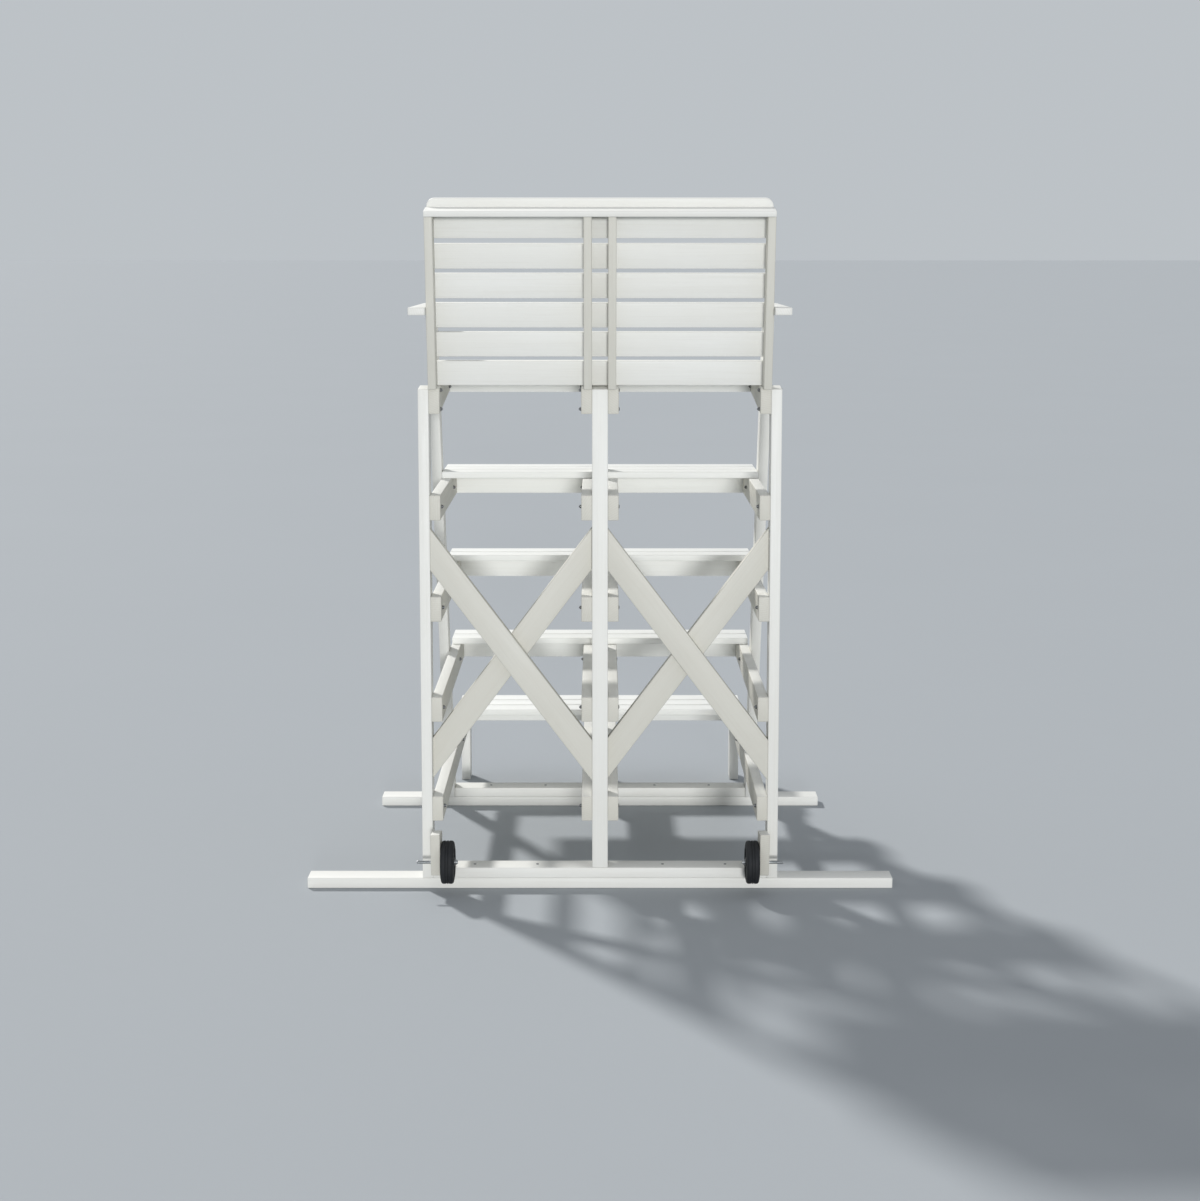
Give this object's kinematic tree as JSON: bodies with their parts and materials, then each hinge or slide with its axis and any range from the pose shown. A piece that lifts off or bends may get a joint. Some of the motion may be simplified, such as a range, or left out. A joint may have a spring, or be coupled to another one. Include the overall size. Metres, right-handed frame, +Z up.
{
  "type": "lifeguard chair",
  "caption": "Tall white wooden lifeguard stand with a slatted double seat, front steps on ground skids and small rear tipping wheels.",
  "frame": {"origin": "on the ground, below the middle of the stand's outline", "axes": "+X towards the sitter's left, the stand faces -Y, +Z up"},
  "size_m": [2.106, 1.78, 2.4606],
  "materials": {
    "white_painted_wood": "satin",
    "black_rubber": "matte",
    "zinc_plated_steel": "satin"
  },
  "bodies": {
    "stand": {"rear_skid": "white_painted_wood", "rear_cross_board": "white_painted_wood", "front_skid": "white_painted_wood", "front_cross_board": "white_painted_wood", "rear_leg_left": "white_painted_wood", "rear_leg_centre": "white_painted_wood", "rear_leg_right": "white_painted_wood", "front_leg_left": "white_painted_wood", "front_leg_centre": "white_painted_wood", "front_leg_right": "white_painted_wood", "seat_rail_left": "white_painted_wood", "step_1_rail_left": "white_painted_wood", "step_2_rail_left": "white_painted_wood", "step_3_rail_left": "white_painted_wood", "step_4_rail_left": "white_painted_wood", "seat_rail_centre_left": "white_painted_wood", "step_1_rail_centre_left": "white_painted_wood", "step_2_rail_centre_left": "white_painted_wood", "step_3_rail_centre_left": "white_painted_wood", "step_4_rail_centre_left": "white_painted_wood", "seat_rail_centre_right": "white_painted_wood", "step_1_rail_centre_right": "white_painted_wood", "step_2_rail_centre_right": "white_painted_wood", "step_3_rail_centre_right": "white_painted_wood", "step_4_rail_centre_right": "white_painted_wood", "seat_rail_right": "white_painted_wood", "step_1_rail_right": "white_painted_wood", "step_2_rail_right": "white_painted_wood", "step_3_rail_right": "white_painted_wood", "step_4_rail_right": "white_painted_wood", "step_1_boards": "white_painted_wood", "step_1_apron": "white_painted_wood", "step_2_boards": "white_painted_wood", "step_2_apron": "white_painted_wood", "step_3_boards": "white_painted_wood", "step_3_apron": "white_painted_wood", "step_4_boards": "white_painted_wood", "step_4_apron": "white_painted_wood", "step_leg_left": "white_painted_wood", "step_leg_centre": "white_painted_wood", "step_leg_right": "white_painted_wood", "brace_cross_left": "white_painted_wood", "brace_cross_right": "white_painted_wood", "seat_boards": "white_painted_wood", "seat_apron_left": "white_painted_wood", "seat_apron_right": "white_painted_wood", "back_upright_left": "white_painted_wood", "back_upright_centre_left": "white_painted_wood", "back_upright_centre_right": "white_painted_wood", "back_upright_right": "white_painted_wood", "back_slats": "white_painted_wood", "back_cap": "white_painted_wood", "arm_left": "white_painted_wood", "arm_right": "white_painted_wood", "wheel_bracket_left": "white_painted_wood", "wheel_bracket_right": "white_painted_wood", "wheel_axle_left": "zinc_plated_steel", "wheel_axle_right": "zinc_plated_steel"},
    "left_wheel": {"wheel_left": "black_rubber"},
    "right_wheel": {"wheel_right": "black_rubber"}
  },
  "joints": [
    {"name": "left_wheel_spin", "type": "hinge", "parent": "stand", "child": "left_wheel", "pos_m": [0.541, 0.814, 0.121], "axis": [1, 0, 0], "continuous": true},
    {"name": "right_wheel_spin", "type": "hinge", "parent": "stand", "child": "right_wheel", "pos_m": [-0.541, 0.814, 0.121], "axis": [1, 0, 0], "continuous": true}
  ]
}
